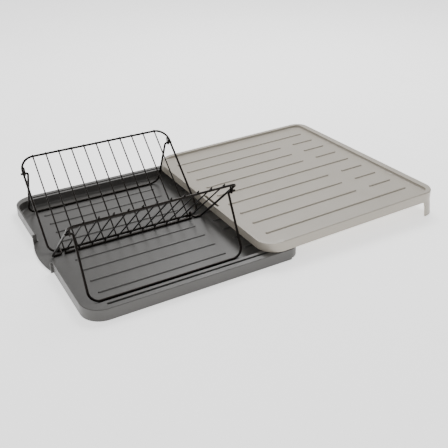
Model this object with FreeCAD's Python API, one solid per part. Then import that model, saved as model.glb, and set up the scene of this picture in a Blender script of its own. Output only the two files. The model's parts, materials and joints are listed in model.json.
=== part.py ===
import FreeCAD, Part
import math
import os

from FreeCAD import Vector

# Extendable dish drying rack, in millimetres. +Z is up, +X runs along the long side towards
# the draining tray, and the origin is the middle of the footprint on the ground.

# Driving dimensions of the two trays
TRAY_HALF_DEPTH = 215.0
SHEET = 2.2  # wall thickness of the moulded trays
LOWER_X0 = -339.0
LOWER_X1 = 40.0
RIM_Z = 20.5
RIM_WIDTH = 20.0
END_WALL = 2.7
FLOOR_Z = 4.3
UPPER_X0 = -29.0
UPPER_LENGTH = 378.8
UPPER_GAP = 0.3  # running gap between the draining tray and the rim that it slides on
UPPER_TILT = 1.25  # degrees, so that water runs back to the lower tray
UPPER_HEIGHT = 19.0
PLATE_TOP = 14.0

# Driving dimensions of the wire rack
ROD_R = 2.0
WIRE_R = 1.25
WELD = 0.15  # depth that one welded wire sinks into the next
WIRE_PITCH = 24.0
WIRE_COUNT = 11
RACK_X = -184.0
RACK_Y = -1.5
VALLEY_Z = 0.5  # height where the two panel planes would meet
PIN_GAP = 0.08
HOOK_GAP = 0.25

TRAY_DEPTH = 2 * TRAY_HALF_DEPTH
EPS = 1e-6
PAST = 1.0  # how far a cutting solid reaches beyond the face that it cuts


class Panel:
    """Frame of a leaning panel: across (x), up its slope (s) and away from its dishes (w)."""

    def __init__(self, side, slope, half_width, top, base, leg_half_width, pivot, foot_y):
        angle = math.radians(slope)
        self.up = Vector(0, side * math.cos(angle), math.sin(angle))
        self.out = Vector(0, side * math.sin(angle), -math.cos(angle))
        self.half_width = half_width
        self.top = top
        self.base = base
        self.leg_half_width = leg_half_width
        self.pivot = pivot
        self.foot_y = foot_y

    def at(self, x, s, w=0.0):
        valley = Vector(RACK_X + x, RACK_Y, VALLEY_Z)
        return valley + self.up * s + self.out * w


LEG_OFFSET = 4.4  # how far the leg axis stands behind the panel's plane
LEG_TIP = 13.0  # reach of the bent leg end through its eyelet
LEG_FOOT_BEND = 18.0
LEG_TIP_BEND = 4.0
FOOT_Z = 6.4
BACK = Panel(1, 43.1, 144.9, 192.5, 8.6, 136.0, 164.6, 170.2)
FRONT = Panel(-1, 42.4, 143.8, 182.9, 8.8, 135.0, 160.6, -169.4)


def rod(points, radii, radius, closed=False):
    """Round bar along a polyline whose corners are bent to the given centre-line radii."""
    count = len(points)
    corners = range(count) if closed else range(1, count - 1)
    arcs = {}
    for i in corners:
        before = (points[i - 1] - points[i]).normalize()
        after = (points[(i + 1) % count] - points[i]).normalize()
        half = before.getAngle(after) / 2
        setback = radii[i] / math.tan(half)
        centre = points[i] + (before + after).normalize() * (radii[i] / math.sin(half))
        turn = math.degrees(math.pi - 2 * half)
        arcs[i] = (points[i] + before * setback, points[i] + after * setback, centre,
                   before.cross(after) * -1, before * -1, turn)
    pieces = []
    for start, end, centre, axis, heading, turn in arcs.values():
        section = Part.Face(Part.Wire(Part.makeCircle(radius, start, heading)))
        pieces.append(section.revolve(centre, axis, turn))
    for i in range(count if closed else count - 1):
        j = (i + 1) % count
        a = arcs[i][1] if i in arcs else points[i]
        b = arcs[j][0] if j in arcs else points[j]
        if (b - a).Length > EPS:
            pieces.append(Part.makeCylinder(radius, (b - a).Length, a, b - a))
    return pieces[0].multiFuse(pieces[1:]).removeSplitter()


def straight_wire(start, end):
    """Thin wire with its cut ends rounded over by the coating."""
    wire = Part.makeCylinder(WIRE_R, (end - start).Length, start, end - start)
    rims = [edge for edge in wire.Edges if edge.Curve.TypeId == "Part::GeomCircle"]
    return wire.makeFillet(0.8 * WIRE_R, rims)


def rounded_block(x0, x1, y0, y1, z0, z1, left_radius, right_radius):
    """Block with upright corners rounded, one radius at each end."""
    block = Part.makeBox(x1 - x0, y1 - y0, z1 - z0, Vector(x0, y0, z0))
    for x, radius in ((x0, left_radius), (x1, right_radius)):
        edges = [edge for edge in block.Edges
                 if edge.BoundBox.ZLength > z1 - z0 - EPS
                 and edge.BoundBox.XLength < EPS and edge.BoundBox.YLength < EPS
                 and abs(edge.BoundBox.XMin - x) < EPS]
        block = block.makeFillet(radius, edges)
    return block


def round_rim(block, z, radius):
    """Round every edge of the block that lies in the level plane z."""
    edges = [edge for edge in block.Edges
             if abs(edge.BoundBox.ZMin - z) < EPS and abs(edge.BoundBox.ZMax - z) < EPS]
    return block.makeFillet(radius, edges)


RIB_ROOT = 1.0


def rib(x0, x1, y, surface, width, height):
    """Low ridge with a round back and round ends, standing on a level surface."""
    radius = (width ** 2 / 4 + height ** 2) / (2 * height)
    axis_z = surface + height - radius
    reach = radius - width / 2
    ends = (Vector(x0 + radius - reach, y, axis_z), Vector(x1 - radius + reach, y, axis_z))
    bar = Part.makeCylinder(radius, (ends[1] - ends[0]).Length, ends[0], Vector(1, 0, 0))
    capsule = bar.multiFuse([Part.makeSphere(radius, end) for end in ends])
    keep = Part.makeBox(x1 - x0 + 2 * radius, 2 * radius, height + RIB_ROOT,
                        Vector(x0 - radius, y - radius, surface - RIB_ROOT))
    return capsule.common(keep)


# Lower tray: a basin with hollow rims along its front and back and a spout at its left end
BASIN_HALF = TRAY_HALF_DEPTH - RIM_WIDTH
SLOT_Y = TRAY_HALF_DEPTH - 12.0
SLOT_WIDTH = 4.6
SLOT_DEPTH = 5.5
SLOT_X0 = -303.0
LOWER_CORNER_LEFT = 35.0
LOWER_CORNER_RIGHT = 24.0
BASIN_CORNER_LEFT = 25.0
BASIN_CORNER_RIGHT = 16.0
RIM_ROUND = 1.3
FLOOR_FILLET = 4.0
SPOUT_Y0 = -46.0
SPOUT_Y1 = 57.0
SPOUT_TIP_X = -350.0
SPOUT_SIDE_X = -342.8
SPOUT_ROUND = 1.0
CHEEK_THICKNESS = 2.6
CHEEK_TOP = 18.8
CHEEK_REACH = 0.6
CHEEK_ROUND = 1.2
LOWER_RIB_PITCH = 36.5
LOWER_RIBS = 9
LOWER_RIB_WIDTH = 5.0
LOWER_RIB_HEIGHT = 1.9
LONG_RIB_SPAN = (-298.0, -68.0)
SHORT_RIB_SPAN = (-31.5, 6.0)
RELIEF_LENGTH = 19.0
RELIEF_HEIGHT = 2.5


def basin(grow, z0, z1):
    return rounded_block(LOWER_X0 + END_WALL - grow, LOWER_X1 - END_WALL + grow,
                         -BASIN_HALF - grow, BASIN_HALF + grow, z0, z1,
                         BASIN_CORNER_LEFT + grow, BASIN_CORNER_RIGHT + grow)


def lower_block(inset, z0, z1):
    return rounded_block(LOWER_X0 + inset, LOWER_X1 - inset, -TRAY_HALF_DEPTH + inset,
                         TRAY_HALF_DEPTH - inset, z0, z1,
                         LOWER_CORNER_LEFT - inset, LOWER_CORNER_RIGHT - inset)


def spout():
    """Tongue of the floor that reaches out through the gap in the left wall."""
    corner_a = Vector(SPOUT_SIDE_X, SPOUT_Y0, FLOOR_Z - SHEET)
    corner_b = Vector(SPOUT_SIDE_X, SPOUT_Y1, FLOOR_Z - SHEET)
    tip = Vector(SPOUT_TIP_X, (SPOUT_Y0 + SPOUT_Y1) / 2, FLOOR_Z - SHEET)
    root_a = Vector(LOWER_X0 + PAST, SPOUT_Y0, FLOOR_Z - SHEET)
    root_b = Vector(LOWER_X0 + PAST, SPOUT_Y1, FLOOR_Z - SHEET)
    outline = Part.Wire([Part.LineSegment(root_a, corner_a).toShape(),
                         Part.Arc(corner_a, tip, corner_b).toShape(),
                         Part.LineSegment(corner_b, root_b).toShape(),
                         Part.LineSegment(root_b, root_a).toShape()])
    tongue = Part.Face(outline).extrude(Vector(0, 0, SHEET))
    brow = [edge for edge in tongue.Edges
            if edge.BoundBox.ZLength < EPS and edge.BoundBox.ZMin > FLOOR_Z - EPS
            and edge.BoundBox.XMin < SPOUT_TIP_X + SPOUT_ROUND]
    return tongue.makeFillet(SPOUT_ROUND, brow)


def cheek(y):
    """Wall end turned outwards beside the spout."""
    x0 = SPOUT_SIDE_X - CHEEK_REACH
    block = Part.makeBox(LOWER_X0 + END_WALL - x0, CHEEK_THICKNESS, CHEEK_TOP,
                         Vector(x0, y, 0))
    edges = [edge for edge in block.Edges
             if abs(edge.BoundBox.XMax - x0) < EPS
             and edge.BoundBox.ZMax > CHEEK_TOP - EPS]
    return block.makeFillet(CHEEK_ROUND, edges)


def lower_tray():
    shell = round_rim(lower_block(0, 0, RIM_Z), RIM_Z, RIM_ROUND)
    cavity = lower_block(SHEET, -PAST, RIM_Z - SHEET).cut(basin(SHEET, FLOOR_Z - SHEET, RIM_Z))
    shell = shell.cut(cavity)
    channel_z = RIM_Z - SLOT_DEPTH - SHEET
    channels = []
    slots = []
    for side in (-1, 1):
        y = side * SLOT_Y - SLOT_WIDTH / 2
        channels.append(Part.makeBox(LOWER_X1 - SLOT_X0, SLOT_WIDTH + 2 * SHEET,
                                     RIM_Z - SHEET / 2 - channel_z,
                                     Vector(SLOT_X0 - SHEET, y - SHEET, channel_z)))
        slots.append(Part.makeBox(LOWER_X1 - SLOT_X0 + PAST, SLOT_WIDTH, SLOT_DEPTH + PAST,
                                  Vector(SLOT_X0, y, RIM_Z - SLOT_DEPTH)))
    outline = lower_block(0, 0, RIM_Z)
    channels = [channel.common(outline) for channel in channels]
    bowl = round_rim(basin(0, FLOOR_Z, RIM_Z + PAST), FLOOR_Z, FLOOR_FILLET)
    mouth = Part.makeBox(END_WALL + FLOOR_FILLET + 2 * PAST, SPOUT_Y1 - SPOUT_Y0, RIM_Z,
                         Vector(LOWER_X0 - PAST, SPOUT_Y0, FLOOR_Z))
    shell = shell.multiFuse(channels).cut([bowl, mouth])
    cheeks = [cheek(SPOUT_Y0 - CHEEK_THICKNESS), cheek(SPOUT_Y1)]
    ribs = []
    for i in range(LOWER_RIBS):
        y = (i - LOWER_RIBS // 2) * LOWER_RIB_PITCH
        for x0, x1 in (LONG_RIB_SPAN, SHORT_RIB_SPAN):
            ribs.append(rib(x0, x1, y, FLOOR_Z, LOWER_RIB_WIDTH, LOWER_RIB_HEIGHT))
    shell = shell.multiFuse([spout()] + cheeks + ribs)
    relief = Part.makeBox(RELIEF_LENGTH + PAST, TRAY_DEPTH + 2 * PAST, RELIEF_HEIGHT + PAST,
                          Vector(LOWER_X1 - RELIEF_LENGTH, -TRAY_HALF_DEPTH - PAST, -PAST))
    relief = relief.cut(basin(SHEET, FLOOR_Z - SHEET, RIM_Z))
    return shell.cut(slots + [relief]).removeSplitter()


# Upper tray: built level in its own frame (u along the tray, v up from its lower edge),
# then tilted about its left lower edge
LIP_LEFT = 2.6
LIP_RIGHT = 14.0
LIP_FRONT = 9.0
LIP_BACK = 10.0
LEFT_WALL = 15.0
LEFT_RAMP = 35.0
UPPER_CORNER_LEFT = 35.0
UPPER_CORNER_RIGHT = 28.0
RECESS_CORNER_LEFT = 27.0
RECESS_CORNER_RIGHT = 12.0
LIP_ROUND = 2.0
RECESS_FILLET = 3.5
LEG_REACH = 28.5
LEG_ARCH = 7.5
LEG_DROP = 32.0
LEG_FLARE = 4.0  # outward lean of the legs over their drop
FIN_U0 = 14.0
FIN_U1 = 30.0
FIN_THICKNESS = 1.6
FIN_DEPTH = 4.2
UPPER_RIB_PITCH = 41.5
UPPER_RIBS = 9
UPPER_RIB_SHIFT = -4.3
UPPER_RIB_WIDTH = 5.2
UPPER_RIB_HEIGHT = 2.3
RIB_START = 25.7
RIB_END = 342.0
BREAK_START = 257.7
BREAK_END = 289.7
DRAIN_U = 6.6
DRAIN_WIDTH = 6.8
DRAIN_Y0 = -42.0
DRAIN_Y1 = 11.0
DRAIN_CORNER = 3.3


def recess(grow, z0, z1):
    return rounded_block(LIP_LEFT - grow, UPPER_LENGTH - LIP_RIGHT + grow,
                         -TRAY_HALF_DEPTH + LIP_FRONT - grow, TRAY_HALF_DEPTH - LIP_BACK + grow,
                         z0, z1, RECESS_CORNER_LEFT + grow, RECESS_CORNER_RIGHT + grow)


def tray_block(inset, z0, z1):
    return rounded_block(inset, UPPER_LENGTH - inset, -TRAY_HALF_DEPTH + inset,
                         TRAY_HALF_DEPTH - inset, z0, z1,
                         UPPER_CORNER_LEFT - inset, UPPER_CORNER_RIGHT - inset)


def arched_strip(length):
    """Upright outline of a leg seen square on: its edge curves into the skirt above it."""
    edge = -LEG_REACH
    corner = Vector(edge - LEG_ARCH, 0, 0)
    middle = Vector(edge - LEG_ARCH * (1 - math.sqrt(0.5)), 0, -LEG_ARCH * (1 - math.sqrt(0.5)))
    low = Vector(edge, 0, -LEG_ARCH)
    foot = Vector(edge, 0, -LEG_DROP)
    far_foot = Vector(LEG_FLARE + PAST, 0, -LEG_DROP)
    far_top = Vector(LEG_FLARE + PAST, 0, PAST)
    near_top = Vector(edge - LEG_ARCH, 0, PAST)
    edges = [Part.Arc(corner, middle, low).toShape()]
    chain = [low, foot, far_foot, far_top, near_top, corner]
    edges += [Part.LineSegment(a, b).toShape() for a, b in zip(chain, chain[1:])]
    return Part.Face(Part.Wire(edges)).extrude(Vector(0, length, 0))


def leaning_block(inset):
    """Block under the skirt whose walls lean outwards by the leg's flare."""
    wires = []
    for grow, z in ((LEG_FLARE, -LEG_DROP), (0, 0)):
        slab = tray_block(inset - grow, z, z + PAST)
        base = [face for face in slab.Faces if face.BoundBox.ZMax < z + EPS]
        wires.append(base[0].OuterWire)
    return Part.makeLoft(wires, True, True)


def corner_leg(side):
    """Corner of the skirt carried down to the ground, leaning outwards a little."""
    wall = leaning_block(0).cut(leaning_block(SHEET))
    across = arched_strip(2 * TRAY_DEPTH)
    across.translate(Vector(UPPER_LENGTH, -TRAY_DEPTH, 0))
    along = arched_strip(2 * TRAY_DEPTH)
    along.translate(Vector(0, -TRAY_DEPTH, 0))
    along.rotate(Vector(0, 0, 0), Vector(0, 0, 1), side * 90)
    along.translate(Vector(UPPER_LENGTH / 2, side * TRAY_HALF_DEPTH, 0))
    return wall.common(across).common(along)


def upper_tray():
    shell = round_rim(tray_block(0, 0, UPPER_HEIGHT), UPPER_HEIGHT, LIP_ROUND)
    rise = UPPER_HEIGHT - LEFT_WALL
    ramp = Part.makeBox(2 * LEFT_RAMP, 2 * TRAY_DEPTH, LEFT_RAMP,
                        Vector(-LEFT_RAMP, -TRAY_DEPTH, 0))
    ramp.rotate(Vector(0, 0, 0), Vector(0, 1, 0), -math.degrees(math.atan2(rise, LEFT_RAMP)))
    ramp.translate(Vector(0, 0, LEFT_WALL))
    shell = shell.cut(ramp)
    shell = shell.cut(round_rim(recess(0, PLATE_TOP, UPPER_HEIGHT + PAST), PLATE_TOP,
                                RECESS_FILLET))
    under = tray_block(SHEET, -PAST, UPPER_HEIGHT - SHEET)
    under = under.cut(recess(SHEET, PLATE_TOP - SHEET, UPPER_HEIGHT))
    under = under.cut(Part.makeBox(LEFT_RAMP, 2 * TRAY_DEPTH, UPPER_HEIGHT,
                                   Vector(0, -TRAY_DEPTH, PLATE_TOP - SHEET)))
    shell = shell.cut(under)
    pieces = [corner_leg(-1), corner_leg(1)]
    for side in (-1, 1):
        pieces.append(Part.makeBox(FIN_U1 - FIN_U0, FIN_THICKNESS,
                                   PLATE_TOP - SHEET / 2 + FIN_DEPTH,
                                   Vector(FIN_U0, side * SLOT_Y - FIN_THICKNESS / 2, -FIN_DEPTH)))
    for i in range(UPPER_RIBS):
        y = (i - UPPER_RIBS // 2) * UPPER_RIB_PITCH + UPPER_RIB_SHIFT
        spans = [(RIB_START, BREAK_START), (BREAK_END, RIB_END)]
        if i % 4 == 0:
            spans = [(RIB_START, RIB_END)]
        for u0, u1 in spans:
            pieces.append(rib(u0, u1, y, PLATE_TOP, UPPER_RIB_WIDTH, UPPER_RIB_HEIGHT))
    shell = shell.multiFuse(pieces)
    drain = rounded_block(DRAIN_U - DRAIN_WIDTH / 2, DRAIN_U + DRAIN_WIDTH / 2,
                          DRAIN_Y0, DRAIN_Y1, 0, UPPER_HEIGHT, DRAIN_CORNER, DRAIN_CORNER)
    shell = shell.cut(drain).removeSplitter()
    left_edge = Vector(UPPER_X0, 0, RIM_Z + UPPER_GAP)
    shell.translate(left_edge)
    shell.rotate(left_edge, Vector(0, 1, 0), -UPPER_TILT)
    ground = Part.makeBox(2 * UPPER_LENGTH, 2 * TRAY_DEPTH, LEG_DROP,
                          Vector(0, -TRAY_DEPTH, -LEG_DROP))
    return shell.cut(ground)


# Wire rack: two leaning panels, hooked together along the back panel's lowest rod
BACK_TOP_BEND = 25.0
BACK_BASE_BEND = 16.0


def back_frame():
    half = BACK.half_width
    corners = [BACK.at(-half, BACK.base), BACK.at(-half, BACK.top),
               BACK.at(half, BACK.top), BACK.at(half, BACK.base)]
    bends = [BACK_BASE_BEND, BACK_TOP_BEND, BACK_TOP_BEND, BACK_BASE_BEND]
    return rod(corners, bends, ROD_R, closed=True)


HOOK_X = 127.5
HOOK_RADIUS = 2 * ROD_R + HOOK_GAP
HOOK_TAIL = 0.8
FRONT_TOP_BEND = 11.0
FRONT_BASE_BEND = 4.0


def front_frame():
    """Upside-down U whose ends turn inwards, then hook over the back panel's lowest rod."""
    hinge = BACK.at(0, BACK.base)
    back_y = hinge.y + HOOK_RADIUS
    start = FRONT.at(0, FRONT.base)
    away = hinge - start
    rise = math.atan2(away.z, away.y) + math.asin(HOOK_RADIUS / away.Length)
    over_z = start.z + (back_y - start.y) * math.tan(rise)
    half = FRONT.half_width
    side = []
    for sign in (-1, 1):
        x = RACK_X + sign * HOOK_X
        side.append([Vector(x, back_y, hinge.z - HOOK_TAIL), Vector(x, back_y, over_z),
                     FRONT.at(sign * HOOK_X, FRONT.base), FRONT.at(sign * half, FRONT.base),
                     FRONT.at(sign * half, FRONT.top)])
    points = side[0] + side[1][::-1]
    bends = [0, HOOK_RADIUS, FRONT_BASE_BEND, FRONT_BASE_BEND, FRONT_TOP_BEND]
    return rod(points, bends + bends[::-1], ROD_R)


def leg(panel):
    """U-shaped leg whose bent ends turn in the panel's eyelets."""
    half = panel.leg_half_width
    pivot = panel.at(0, panel.pivot, LEG_OFFSET)
    foot = Vector(RACK_X, RACK_Y + panel.foot_y, FOOT_Z)
    tip = Vector(half + LEG_TIP, 0, 0)
    arm = Vector(half, 0, 0)
    points = [pivot - tip, pivot - arm, foot - arm, foot + arm, pivot + arm, pivot + tip]
    bends = [0, LEG_TIP_BEND, LEG_FOOT_BEND]
    return rod(points, bends + bends[::-1], ROD_R)


EYELET_RADIUS = ROD_R + PIN_GAP + WIRE_R
EYELET_SPAN = 5.8


def eyelet(panel, sign):
    """Long ring round the leg's end, welded to the inner side of the panel's side rod."""
    x = sign * (panel.half_width - ROD_R - WIRE_R + WELD)
    low = panel.at(x, panel.pivot, LEG_OFFSET)
    high = panel.at(x, panel.pivot + EYELET_SPAN)
    along = (high - low).normalize()
    across = along.cross(Vector(1, 0, 0))
    low = low - along * EYELET_RADIUS
    high = high + along * EYELET_RADIUS
    reach = across * EYELET_RADIUS
    return rod([low - reach, high - reach, high + reach, low + reach],
               [EYELET_RADIUS] * 4, WIRE_R, closed=True)


WIRE_OFFSET = -(ROD_R + WIRE_R - WELD)
WIRE_TAIL = 2.2
WIRE_TOP = {"back": 1.6, "front": 5.0}  # reach of the thin wires past the top rod's axis
CROSSBAR_END = 2.5  # reach of the crossbar past its outermost wires


def panel_wire(name, panel, index):
    x = (index - WIRE_COUNT // 2) * WIRE_PITCH
    return straight_wire(panel.at(x, panel.base - WIRE_TAIL, WIRE_OFFSET),
                         panel.at(x, panel.top + WIRE_TOP[name], WIRE_OFFSET))


def front_crossbar():
    half = (WIRE_COUNT // 2) * WIRE_PITCH + CROSSBAR_END
    return rod([FRONT.at(-half, FRONT.base), FRONT.at(half, FRONT.base)], [0, 0], ROD_R)


def build():
    nodes = {
        "lower_tray": lower_tray(),
        "upper_tray": upper_tray(),
        "back_frame": back_frame(),
        "front_frame": front_frame(),
        "front_crossbar": front_crossbar(),
        "back_leg": leg(BACK),
        "front_leg": leg(FRONT),
    }
    for name, panel in (("back", BACK), ("front", FRONT)):
        nodes[name + "_eyelet_left"] = eyelet(panel, -1)
        nodes[name + "_eyelet_right"] = eyelet(panel, 1)
        for i in range(WIRE_COUNT):
            nodes["%s_wire_%02d" % (name, i + 1)] = panel_wire(name, panel, i)
    os.makedirs("parts", exist_ok=True)
    for name, shape in nodes.items():
        box = shape.BoundBox
        print("%-20s solids %d valid %s volume %.0f  x %.1f %.1f  y %.1f %.1f  z %.2f %.2f" % (
            name, len(shape.Solids), shape.isValid(), shape.Volume,
            box.XMin, box.XMax, box.YMin, box.YMax, box.ZMin, box.ZMax))
        shape.exportStep("parts/%s.step" % name)
    return nodes


if __name__ == "__main__":
    build()
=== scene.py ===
import json

import bmesh
import bpy
import numpy as np
from mathutils import Matrix, Vector


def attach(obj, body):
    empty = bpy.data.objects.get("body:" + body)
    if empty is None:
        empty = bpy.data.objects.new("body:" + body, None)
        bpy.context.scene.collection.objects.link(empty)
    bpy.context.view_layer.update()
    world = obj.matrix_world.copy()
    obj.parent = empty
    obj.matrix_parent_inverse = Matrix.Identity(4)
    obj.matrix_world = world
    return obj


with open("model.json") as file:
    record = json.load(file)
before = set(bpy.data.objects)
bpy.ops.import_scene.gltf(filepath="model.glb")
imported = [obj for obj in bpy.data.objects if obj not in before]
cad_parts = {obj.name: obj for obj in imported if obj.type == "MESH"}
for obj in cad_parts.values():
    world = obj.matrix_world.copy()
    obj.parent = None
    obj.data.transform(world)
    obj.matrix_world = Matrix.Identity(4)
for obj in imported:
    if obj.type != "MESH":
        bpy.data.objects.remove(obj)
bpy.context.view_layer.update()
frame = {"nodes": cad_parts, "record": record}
nodes = frame["nodes"]
record = frame["record"]

# Camera: where it stands and where it looks, in metres
CAMERA_AT = Vector((-0.5395, -0.9564, 0.5792))
CAMERA_FORWARD = Vector((0.4228, 0.7834, -0.4555))
CAMERA_RIGHT = Vector((0.8749, -0.4839, -0.02))
CAMERA_LENS = 51.73
CAMERA_SHIFT = (0.038, -0.046)

# Noise textures: scale in cells per metre, and detail
PLASTIC_CLOUD = (9, 4)
PLASTIC_SPECKS = (1400, 2)
PLASTIC_SHEEN = (35, 3)
PLASTIC_GRAIN = (2200, 2)
PLASTIC_SINK = (24, 2)
COAT_TONE = (60, 3)
COAT_SHEEN = (180, 2)
COAT_PEEL = (900, 2)
FLOOR_TONE = (3, 2)

# Bumps: strength, and height in metres
GRAIN_BUMP = (0.35, 0.00006)
SINK_BUMP = (0.06, 0.0004)
PEEL_BUMP = (0.25, 0.00008)

# Noise values at which a finish reaches its two extremes
MIDDLE = (0.3, 0.7)
SPECK_MIDDLE = (0.35, 0.65)

# Plastics: colour, mottling, and the range of the roughness
PLASTICS = {
    "dark_plastic": ((0.086, 0.083, 0.078), 0.05, 0.32, 0.44),
    "light_plastic": ((0.425, 0.387, 0.325), 0.02, 0.28, 0.4),
}

# Other finishes: colours at the two extremes of the noise, and how the surface shines
SPECK_SHADES = ((0.94, 0.94, 0.94), (1.0, 1.0, 1.0))
COAT_COLOURS = ((0.0022, 0.0018, 0.0015), (0.0042, 0.0034, 0.0029))
COAT_ROUGHNESS = (0.26, 0.4)
COAT_SPECULAR = 0.2
COAT_SPECULAR_TINT = (1.0, 0.86, 0.76, 1)
FLOOR_COLOURS = ((0.93, 0.93, 0.93), (0.95, 0.95, 0.95))
FLOOR_ROUGHNESS = 0.8
FLOOR_SPECULAR = 0.1
WHITE = (1, 1, 1, 1)

# Weld beads, in metres: side on which each panel's rods lie, and how far its welds are from the
# wires' two ends
WELDS = {"back": (1, 0.0022, 0.0016), "front": (-1, 0.0022, 0.0050)}
BEAD_SIZE = (0.0019, 0.0017, 0.0011)
BEAD_SHIFT = 0.0012
ACROSS = Vector((1, 0, 0))

# Studio, in metres and watts: a glowing pale floor, a bright sweep behind the rack, a soft key
# and a weak fill
FLOOR_RADIUS = 25
FLOOR_CORNERS = 96
FLOOR_GLOW = 1.2
SWEEP_TOWARDS = (0.44, 0.88, 0.17)
SWEEP_FADE = (0.3, 1.0)
SWEEP_LEVEL = 1.1
ROOM_LEVEL = 0.55
KEY_AT = (0.9, 0.95, 1.7)
KEY_SIZE = (1.2, 0.8)
KEY_WATTS = 33
FILL_AT = (-1.9, 0.15, 0.45)
FILL_SIZE = (1.2, 0.6)
FILL_WATTS = 5


# ---------------------------------------------------------------- materials
class Graph:
    """Short names for building a material's node tree."""

    def __init__(self, name):
        self.material = bpy.data.materials.new(name)
        self.material.use_nodes = True
        self.tree = self.material.node_tree
        self.shader = self.tree.nodes["Principled BSDF"]

    def add(self, kind, **values):
        """New node; each value is one of its properties or the default of an input."""
        node = self.tree.nodes.new("ShaderNode" + kind)
        for key, value in values.items():
            if hasattr(node, key):
                setattr(node, key, value)
            else:
                node.inputs[key].default_value = value
        return node

    def link(self, source, target):
        self.tree.links.new(source, target)

    def noise(self, scale, detail):
        coords = self.add("TexCoord")
        noise = self.add("TexNoise", Scale=scale, Detail=detail)
        self.link(coords.outputs["Object"], noise.inputs["Vector"])
        return noise.outputs["Fac"]

    def ramp(self, factor, places, colours):
        """Colour that goes from the first to the second while the factor goes over the places."""
        ramp = self.add("ValToRGB")
        for element, place, colour in zip(ramp.color_ramp.elements, places, colours):
            element.position = place
            element.color = (*colour, 1)
        self.link(factor, ramp.inputs["Fac"])
        return ramp.outputs["Color"]

    def spread(self, factor, low, high):
        """Number that goes from low to high over the middle of a noise."""
        spread = self.add("MapRange")
        spread.inputs["From Min"].default_value = MIDDLE[0]
        spread.inputs["From Max"].default_value = MIDDLE[1]
        spread.inputs["To Min"].default_value = low
        spread.inputs["To Max"].default_value = high
        self.link(factor, spread.inputs["Value"])
        return spread.outputs["Result"]

    def bump(self, height, strength, distance, below=None):
        """Relief that follows a noise, on top of another relief if one is given."""
        bump = self.add("Bump", Strength=strength, Distance=distance)
        self.link(height, bump.inputs["Height"])
        if below is not None:
            self.link(below, bump.inputs["Normal"])
        return bump.outputs["Normal"]


def tint(colour, factor):
    return tuple(channel * factor for channel in colour)


def moulded_plastic(name, colour, mottle, rough_low, rough_high):
    """Injection-moulded plastic with a fine spark-eroded grain and slow flow clouding."""
    graph = Graph(name)
    extremes = (tint(colour, 1 - mottle), tint(colour, 1 + mottle))
    base = graph.ramp(graph.noise(*PLASTIC_CLOUD), MIDDLE, extremes)
    specks = graph.ramp(graph.noise(*PLASTIC_SPECKS), SPECK_MIDDLE, SPECK_SHADES)
    mix = graph.add("Mix", data_type="RGBA", blend_type="MULTIPLY")
    mix.inputs["Factor"].default_value = 1
    graph.link(base, mix.inputs["A"])
    graph.link(specks, mix.inputs["B"])
    graph.link(mix.outputs["Result"], graph.shader.inputs["Base Color"])
    sheen = graph.spread(graph.noise(*PLASTIC_SHEEN), rough_low, rough_high)
    graph.link(sheen, graph.shader.inputs["Roughness"])
    grain = graph.bump(graph.noise(*PLASTIC_GRAIN), *GRAIN_BUMP)
    sink = graph.bump(graph.noise(*PLASTIC_SINK), *SINK_BUMP, grain)
    graph.link(sink, graph.shader.inputs["Normal"])
    return graph.material


def coated_wire(name):
    """Black powder coat on steel wire: satin, with a slight orange peel."""
    graph = Graph(name)
    base = graph.ramp(graph.noise(*COAT_TONE), MIDDLE, COAT_COLOURS)
    graph.link(base, graph.shader.inputs["Base Color"])
    sheen = graph.spread(graph.noise(*COAT_SHEEN), *COAT_ROUGHNESS)
    graph.link(sheen, graph.shader.inputs["Roughness"])
    graph.shader.inputs["Specular IOR Level"].default_value = COAT_SPECULAR
    graph.shader.inputs["Specular Tint"].default_value = COAT_SPECULAR_TINT
    peel = graph.bump(graph.noise(*COAT_PEEL), *PEEL_BUMP)
    graph.link(peel, graph.shader.inputs["Normal"])
    return graph.material


def plain_floor(name):
    """Matt pale sheet with a slight glow of its own."""
    graph = Graph(name)
    base = graph.ramp(graph.noise(*FLOOR_TONE), MIDDLE, FLOOR_COLOURS)
    graph.link(base, graph.shader.inputs["Base Color"])
    graph.shader.inputs["Roughness"].default_value = FLOOR_ROUGHNESS
    graph.shader.inputs["Specular IOR Level"].default_value = FLOOR_SPECULAR
    graph.shader.inputs["Emission Color"].default_value = WHITE
    graph.shader.inputs["Emission Strength"].default_value = FLOOR_GLOW
    return graph.material


finishes = {name: moulded_plastic(name, *values) for name, values in PLASTICS.items()}
finishes["coated_wire"] = coated_wire("coated_wire")
for part in record["subparts"]:
    for slot in nodes[part["node"]].material_slots:
        slot.material = finishes[part["material_slot"]]


# ---------------------------------------------------------------- weld beads
def wire_ends(node):
    """Lower and upper end of a straight wire's axis, found from its vertices."""
    points = np.array([vertex.co for vertex in node.data.vertices])
    centre = points.mean(axis=0)
    along = np.linalg.svd(points - centre, full_matrices=False)[2][0]
    if along[2] < 0:
        along = -along
    places = (points - centre) @ along
    return Vector(centre + along * places.min()), Vector(centre + along * places.max())


def weld_beads(panel):
    """Small blobs of metal where a panel's thin wires are welded to its two long rods."""
    side, low_inset, high_inset = WELDS[panel]
    size = Matrix.Diagonal((*BEAD_SIZE, 1))
    shape = bmesh.new()
    for name in sorted(nodes):
        if not name.startswith(panel + "_wire_"):
            continue
        low, high = wire_ends(nodes[name])
        along = (high - low).normalized()
        out = along.cross(ACROSS) * side
        turn = Matrix((ACROSS, along, out)).transposed().to_4x4()
        for place in (low + along * low_inset, high - along * high_inset):
            move = Matrix.Translation(place + out * BEAD_SHIFT)
            bmesh.ops.create_icosphere(shape, subdivisions=2, radius=1,
                                       matrix=move @ turn @ size)
    mesh = bpy.data.meshes.new(panel + "_weld_beads")
    shape.to_mesh(mesh)
    shape.free()
    mesh.shade_smooth()
    mesh.materials.append(finishes["coated_wire"])
    beads = bpy.data.objects.new(panel + "_weld_beads", mesh)
    bpy.context.scene.collection.objects.link(beads)
    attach(beads, panel + "_panel")


for panel in WELDS:
    weld_beads(panel)


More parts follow.
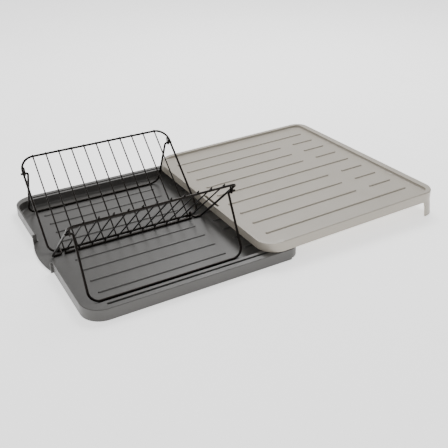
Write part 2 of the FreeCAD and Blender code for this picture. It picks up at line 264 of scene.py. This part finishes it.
# ---------------------------------------------------------------- studio
def area_light(name, place, size, watts):
    """Soft white rectangular lamp aimed at the middle of the rack's footprint."""
    lamp = bpy.data.lights.new(name, "AREA")
    lamp.shape = "RECTANGLE"
    lamp.size, lamp.size_y = size
    lamp.energy = watts
    holder = bpy.data.objects.new(name, lamp)
    bpy.context.scene.collection.objects.link(holder)
    holder.location = place
    holder.rotation_euler = (-Vector(place)).to_track_quat("-Z", "Y").to_euler()


def studio():
    """Pale floor, surroundings and two lamps."""
    bpy.ops.mesh.primitive_circle_add(vertices=FLOOR_CORNERS, radius=FLOOR_RADIUS,
                                      fill_type="NGON")
    floor = bpy.context.object
    floor.name = "floor"
    floor.data.materials.append(plain_floor("floor"))
    cyclorama()
    area_light("key", KEY_AT, KEY_SIZE, KEY_WATTS)
    area_light("fill", FILL_AT, FILL_SIZE, FILL_WATTS)


def cyclorama():
    """Surroundings: a bright white sweep behind the rack that fades to a dim room in front."""
    world = bpy.data.worlds.new("studio")
    world.use_nodes = True
    tree = world.node_tree
    coords = tree.nodes.new("ShaderNodeTexCoord")
    side = tree.nodes.new("ShaderNodeVectorMath")
    side.operation = "DOT_PRODUCT"
    side.inputs[1].default_value = SWEEP_TOWARDS
    fade = tree.nodes.new("ShaderNodeMapRange")
    fade.interpolation_type = "SMOOTHSTEP"
    fade.inputs["From Min"].default_value = SWEEP_FADE[0]
    fade.inputs["From Max"].default_value = SWEEP_FADE[1]
    fade.inputs["To Min"].default_value = ROOM_LEVEL
    fade.inputs["To Max"].default_value = SWEEP_LEVEL
    sky = tree.nodes["Background"]
    tree.links.new(coords.outputs["Generated"], side.inputs[0])
    tree.links.new(side.outputs["Value"], fade.inputs["Value"])
    tree.links.new(fade.outputs["Result"], sky.inputs["Strength"])
    sky.inputs["Color"].default_value = WHITE
    bpy.context.scene.world = world


def camera():
    """Camera that looks down on the rack from beyond its front left corner."""
    lens = bpy.data.cameras.new("camera")
    lens.lens = CAMERA_LENS
    lens.shift_x, lens.shift_y = CAMERA_SHIFT
    holder = bpy.data.objects.new("camera", lens)
    bpy.context.scene.collection.objects.link(holder)
    forward = CAMERA_FORWARD.normalized()
    up = CAMERA_RIGHT.cross(forward).normalized()
    right = forward.cross(up)
    turn = Matrix((right, up, -forward)).transposed().to_4x4()
    holder.matrix_world = Matrix.Translation(CAMERA_AT) @ turn
    bpy.context.scene.camera = holder


studio()
camera()
